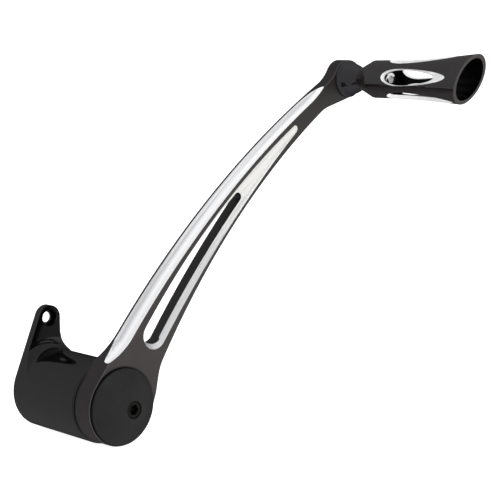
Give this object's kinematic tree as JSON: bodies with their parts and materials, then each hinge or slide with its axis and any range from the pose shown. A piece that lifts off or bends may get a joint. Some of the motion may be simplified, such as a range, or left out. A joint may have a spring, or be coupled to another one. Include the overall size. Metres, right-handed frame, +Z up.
{
  "type": "motorcycle foot shift lever",
  "caption": "Curved billet foot lever on a covered spindle, with a scalloped and windowed arm, a domed pivot cap and a flared, slotted, oblique-mouthed toe peg.",
  "frame": {"origin": "on the pivot axis, at the inboard face that seats on the machine", "axes": "+Y along the pivot axis towards the machine (inboard), +X forward along the arm, +Z up; the toe peg points to -Y"},
  "size_m": [0.2533, 0.2195, 0.2492],
  "materials": {
    "anodised_satin": "satin black-brown anodised aluminium with bright machined cuts",
    "gloss_black": "gloss black coated aluminium",
    "cap_black": "satin black anodised aluminium",
    "steel": "machined steel",
    "black_oxide": "black oxide",
    "chrome": "polished",
    "bronze": "turned bronze",
    "seal_rubber": "matt"
  },
  "bodies": {
    "mount": {"pivot_shroud": "gloss_black", "pivot_spindle": "steel", "spindle_spacer": "steel", "shroud_ring": "seal_rubber", "inner_thrust_washer": "steel", "outer_thrust_washer": "steel", "disc_spring": "steel", "pivot_cap": "cap_black", "cap_screw": "black_oxide", "cap_lock_washer": "black_oxide", "cap_pin": "steel"},
    "lever": {"lever_arm": "anodised_satin", "inner_bushing": "bronze", "outer_bushing": "bronze", "inner_seal": "seal_rubber", "outer_seal": "seal_rubber", "peg_collar": "gloss_black", "joint_ring": "seal_rubber", "eye_insert": "steel", "index_pins": "steel", "peg_body": "anodised_satin", "peg_bolt": "chrome", "peg_washer": "steel", "peg_lock_washer": "steel"}
  },
  "joints": [
    {"name": "shift_pivot", "type": "hinge", "parent": "mount", "child": "lever", "pos_m": [0, -0.0735, 0], "axis": [0, -1, 0], "range_deg": [-12, 12], "stiffness_Nm_per_rad": 8}
  ]
}
